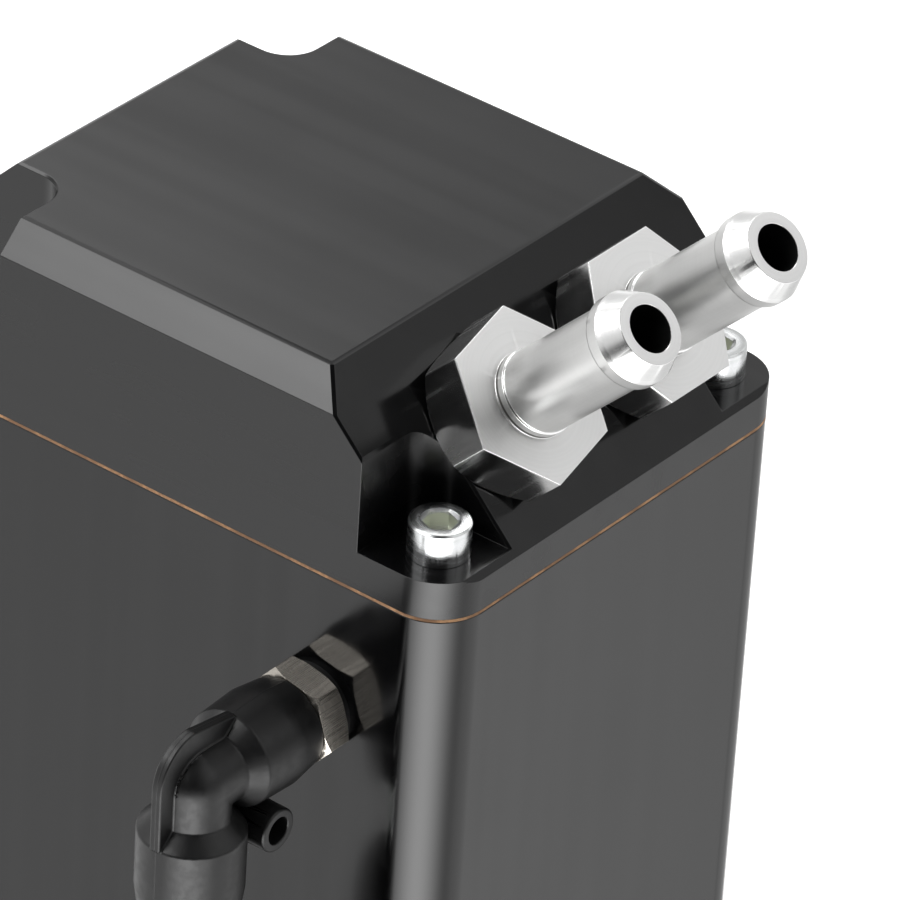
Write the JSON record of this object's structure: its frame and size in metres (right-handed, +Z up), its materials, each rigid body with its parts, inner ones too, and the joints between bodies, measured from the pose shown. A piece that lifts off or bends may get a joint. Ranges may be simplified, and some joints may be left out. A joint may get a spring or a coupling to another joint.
{
  "type": "oil catch can",
  "caption": "Rectangular tank with a milled lid, hose barbs on the lid's slope and a side sight tube, for catching engine breather oil.",
  "frame": {"origin": "centre of the base plate's underside, which the can stands on", "axes": "+Z up through the lid, +X the side that the hose barbs face, -Y the side of the sight tube"},
  "size_m": [0.1283, 0.1272, 0.1684],
  "materials": {
    "black_anodised": "satin black anodised",
    "turned_aluminium": "bright turned",
    "bare_aluminium": "plain mill finish",
    "gasket_tan": "matte",
    "zinc_steel": "zinc plated",
    "nickel_brass": "nickel plated, brushed along the axis",
    "black_plastic": "matte moulded",
    "collar_plastic": "smooth moulded",
    "black_rubber": "matte",
    "clear_tube": "clear"
  },
  "bodies": {
    "can": {"lid": "black_anodised", "tank_body": "black_anodised", "base_plate": "black_anodised", "lid_gasket": "gasket_tan", "base_gasket": "gasket_tan", "baffle_plate": "bare_aluminium", "drain_plug": "zinc_steel", "drain_washer": "bare_aluminium", "lid_screws": "zinc_steel", "base_screws": "zinc_steel", "sight_tube": "clear_tube", "inlet_barb": "turned_aluminium", "outlet_barb": "turned_aluminium", "inlet_o_ring": "black_rubber", "outlet_o_ring": "black_rubber", "upper_elbow_stem": "nickel_brass", "upper_elbow_seal": "black_rubber", "upper_elbow_body": "black_plastic", "upper_guide_ring": "black_plastic", "upper_grip_ring": "zinc_steel", "upper_tube_seal": "black_rubber", "lower_elbow_stem": "nickel_brass", "lower_elbow_seal": "black_rubber", "lower_elbow_body": "black_plastic", "lower_guide_ring": "black_plastic", "lower_grip_ring": "zinc_steel", "lower_tube_seal": "black_rubber"},
    "upper_collar": {"upper_release_collar": "collar_plastic"},
    "lower_collar": {"lower_release_collar": "collar_plastic"}
  },
  "joints": [
    {"name": "upper_collar_press", "type": "slide", "parent": "can", "child": "upper_collar", "axis": [0, 0, 1], "range_m": [0, 0.0012], "stiffness_N_per_m": 500},
    {"name": "lower_collar_press", "type": "slide", "parent": "can", "child": "lower_collar", "axis": [0, 0, -1], "range_m": [0, 0.0012], "stiffness_N_per_m": 500}
  ]
}
